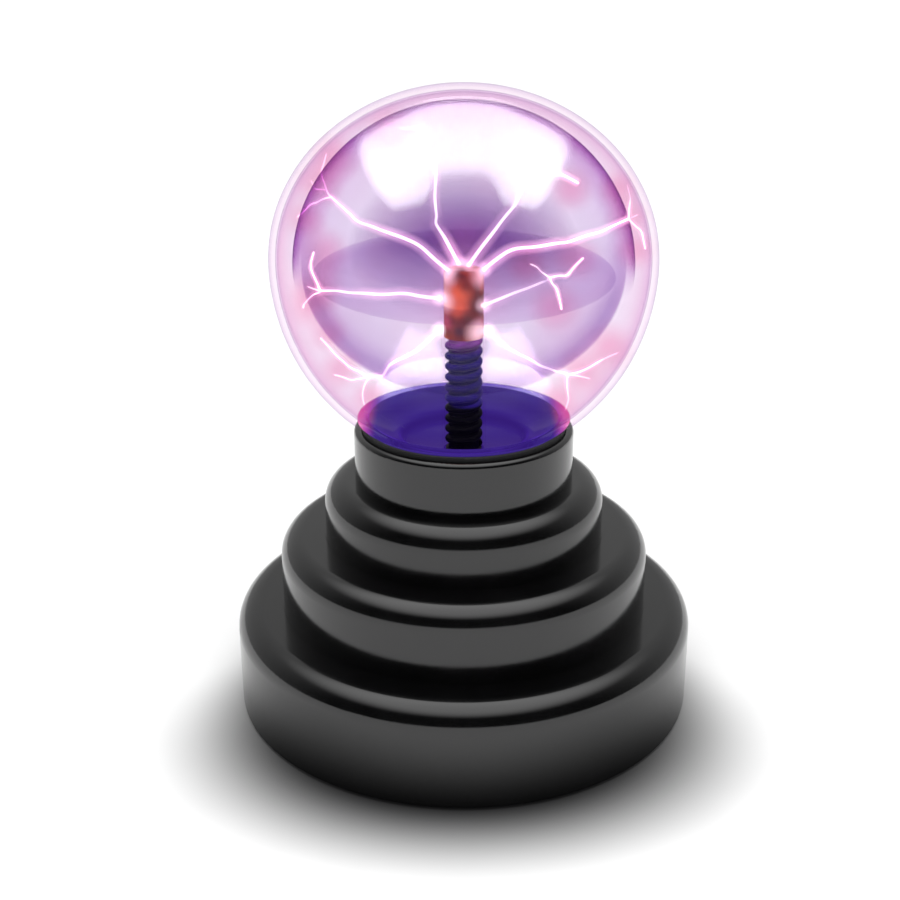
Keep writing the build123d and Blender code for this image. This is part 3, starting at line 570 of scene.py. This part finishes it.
def strand(curve, path, start, end):
    """Adds a path to a curve, with its girth going from start to end."""
    spline = curve.splines.new("NURBS")
    spline.points.add(len(path) - 1)
    for place, (target, point) in enumerate(zip(spline.points, path)):
        target.co = (*point, 1)
        target.radius = start + (end - start) * place / (len(path) - 1)
    spline.order_u = 3
    spline.use_endpoint_u = True


HOT = soft("streamer_core", (1.0, 0.98, 0.99), (1.0, 0.97, 1.0), 2.3, power=2.2)
HALO = soft("streamer_halo", (1.0, 0.86, 0.92), (1.0, 0.7, 0.8), 0.5, power=2.8)
PATCH = soft("touch_glow", (0.97, 0.78, 0.85), (1.0, 0.6, 0.68), 0.02, power=5.0)
ROOT = soft("root_glow", (1.0, 0.95, 0.94), (1.0, 0.84, 0.82), 0.6, power=5.0)
AURA = soft("cap_glow", (1.0, 0.93, 0.95), (1.0, 0.5, 0.62), 0.05, power=5.0)
GLOWING = []


def beads(name, places_and_sizes, material):
    """One glowing piece made of balls."""
    balls = bmesh.new()
    for place, size in places_and_sizes:
        bmesh.ops.create_icosphere(balls, subdivisions=3, radius=size,
                                   matrix=Matrix.Translation(place))
    mesh = bpy.data.meshes.new(name)
    balls.to_mesh(mesh)
    balls.free()
    mesh.shade_smooth()
    GLOWING.append(keep(bpy.data.objects.new(name, mesh), material))


for number, strands in enumerate(STREAMERS, 1):
    chance = random.Random(FIRST_SEED + number - 1)
    paths = [wander(placed(bends), JITTER, chance) for bends in strands]
    for look, girth, material in (("core", CORE_GIRTH, HOT), ("halo", HALO_GIRTH, HALO)):
        curve = bpy.data.curves.new(f"streamer_{number}_{look}", "CURVE")
        curve.dimensions = "3D"
        curve.bevel_depth = girth
        curve.bevel_resolution = 3
        curve.resolution_u = 6
        strand(curve, paths[0], *MAIN_TAPER)
        for path in paths[1:]:
            strand(curve, path, *BRANCH_TAPER)
        GLOWING.append(keep(bpy.data.objects.new(curve.name, curve), material))
    ends = [path[-1].lerp(Vector((0, 0, WIDEST)), 0.06) for path in paths[1:] or paths]
    beads(f"touch_glow_{number}", [(end, chance.uniform(5.0, 7.0) * MM) for end in ends], PATCH)
    beads(f"root_glow_{number}", [(paths[0][0], size * MM) for size in (1.0, 2.4)], ROOT)

for name, size, tall, level in (("cap_glow", 12.0, 13.0, -8.0), ("crown_glow", 9.0, 9.0, 2.0)):
    outline = egg(size * MM, tall * MM, tall * MM, WIDEST + level * MM)
    GLOWING.append(keep(lathe(name, outline, 96), AURA))

SEE_THROUGH = [NODES["glass_globe"], HAZE, BUBBLE, CORE, DISC] + GLOWING
for piece in SEE_THROUGH + [NODES["glass_stem"]]:
    piece.visible_shadow = False
    piece.visible_diffuse = False
    piece.visible_glossy = False


# ---------------------------------------------------------------- floor
def table_with_painted_shadow():
    """A plain white table, with a soft shadow painted on it round where the base stands."""
    material, tree = new_material("table_with_painted_shadow")
    place = add(tree, "TexCoord").outputs["Object"]
    # Painted contact shadow: near black close to the base, centred a little in front of it, fading
    # to white further out.
    painted_shadow_place = add(tree, "Mapping", {"Vector": place, "Location": (0, 0.024, 0),
                                    "Scale": (0.72, 1, 1)}).outputs[0]
    reach = add(tree, "VectorMath", {0: painted_shadow_place}, operation="LENGTH").outputs["Value"]
    clear_of_painted_shadow = ranged(tree, reach, 0.0235, 0.0517)
    white = ranged(tree, noise(tree, 60.0, 3.0), 0.3, 0.7, 0.955, 0.965)
    shade = blended(tree, clear_of_painted_shadow, (0.012, 0.012, 0.013), (1.0, 1.0, 1.0))
    tone = add(tree, "Mix", data_type="RGBA", blend_type="MULTIPLY")
    tone.inputs[0].default_value = 1.0
    tree.links.new(shade, tone.inputs[6])
    tree.links.new(white, tone.inputs[7])
    top = add(tree, "BsdfDiffuse", {"Color": tone.outputs[2], "Roughness": 1.0}).outputs[0]
    under = add(tree, "BsdfTransparent").outputs[0]
    back = add(tree, "NewGeometry").outputs["Backfacing"]
    close_material(tree, add(tree, "MixShader", {0: back, 1: top, 2: under}).outputs[0])
    return material


TABLE_RADIUS = 40.0
TABLE_DROP = 0.05 * MM                  # keeps the table clear of the feet
table = bmesh.new()
bmesh.ops.create_circle(table, cap_ends=True, segments=64, radius=TABLE_RADIUS,
                        matrix=Matrix.Translation((0, 0, -TABLE_DROP)))
mesh = bpy.data.meshes.new("table_top")
table.to_mesh(mesh)
table.free()
floor = bpy.data.objects.new("table_top", mesh)
scene.collection.objects.link(floor)
floor.data.materials.append(table_with_painted_shadow())

# ---------------------------------------------------------------- light
world = bpy.data.worlds.new("studio")
scene.world = world
world.use_nodes = True
tree = world.node_tree
tree.nodes.clear()
WHITE = (1, 1, 1, 1)
way = add(tree, "SeparateXYZ", {"Vector": add(tree, "TexCoord").outputs["Generated"]})
seen = add(tree, "LightPath")
ceiling = maths(tree, "ADD", ranged(tree, way.outputs["Z"], 0.62, 0.97, 0.0, 1.9),
                ranged(tree, way.outputs["Y"], -0.5, 0.7, 0.01, 0.5))
open_sky = add(tree, "Background", {"Color": WHITE, "Strength": 1.0}).outputs[0]
fill = add(tree, "Background", {"Color": WHITE, "Strength": 0.72}).outputs[0]
mirrored = add(tree, "Background", {"Color": WHITE, "Strength": ceiling}).outputs[0]
sky = add(tree, "MixShader", {0: seen.outputs["Is Diffuse Ray"], 1: open_sky, 2: fill}).outputs[0]
sky = add(tree, "MixShader", {0: seen.outputs["Is Glossy Ray"], 1: sky, 2: mirrored}).outputs[0]
add(tree, "OutputWorld", {"Surface": sky})


def lamp(name, kind, place, aim, **settings):
    """Adds a light at a place, turned towards its aim."""
    data = bpy.data.lights.new(name, kind)
    for key, value in settings.items():
        setattr(data, key, value)
    light = bpy.data.objects.new(name, data)
    light.location = place
    light.rotation_euler = (Vector(aim) - Vector(place)).to_track_quat("-Z", "Y").to_euler()
    scene.collection.objects.link(light)
    return light


key = lamp("key", "SUN", (0, 0.2, 1.0), (0, 0, 0), energy=1.9, angle=math.radians(60))
key.visible_glossy = False

glass_only = bpy.data.collections.new("glass_only")
for piece in SEE_THROUGH:
    glass_only.objects.link(piece)


def window(watts):
    """A broad, soft-edged panel overhead, dimmer in the middle, that lights only the glass."""
    panel = lamp("window", "AREA", (0, 0.15, WIDEST + 0.45), (0, 0.15, 0), energy=watts,
                 shape="RECTANGLE", size=0.84, size_y=0.94, use_nodes=True)
    tree = panel.data.node_tree
    spot = add(tree, "SeparateXYZ", {"Vector": add(tree, "NewGeometry").outputs["Parametric"]})
    across = maths(tree, "ABSOLUTE", maths(tree, "SUBTRACT", spot.outputs["X"], 0.5))
    along = maths(tree, "SUBTRACT", spot.outputs["Y"], ranged(tree, across, 0.08, 0.24, 0.17, 0.0))
    sides = maths(tree, "MULTIPLY", ranged(tree, across, 0.5, 0.4),
                  ranged(tree, across, 0.1, 0.24, 0.7, 1.0))
    ends = maths(tree, "MULTIPLY", ranged(tree, along, 0.01, 0.12), ranged(tree, along, 1.0, 0.6))
    tree.links.new(maths(tree, "MULTIPLY", sides, ends), tree.nodes["Emission"].inputs["Strength"])
    panel.light_linking.receiver_collection = glass_only


window(98.0)

for name, spot, colour, watts in (
        ("violet_glow", (0, 0, WIDEST + 6 * MM), (0.5, 0.3, 1.0), 0.002),
        ("pink_glow", (0, -12 * MM, WIDEST - 14 * MM), (1.0, 0.4, 0.7), 0.001)):
    glow = lamp(name, "POINT", spot, (0, 0, 0), energy=watts, color=colour, shadow_soft_size=0.004)
    glow.visible_glossy = False
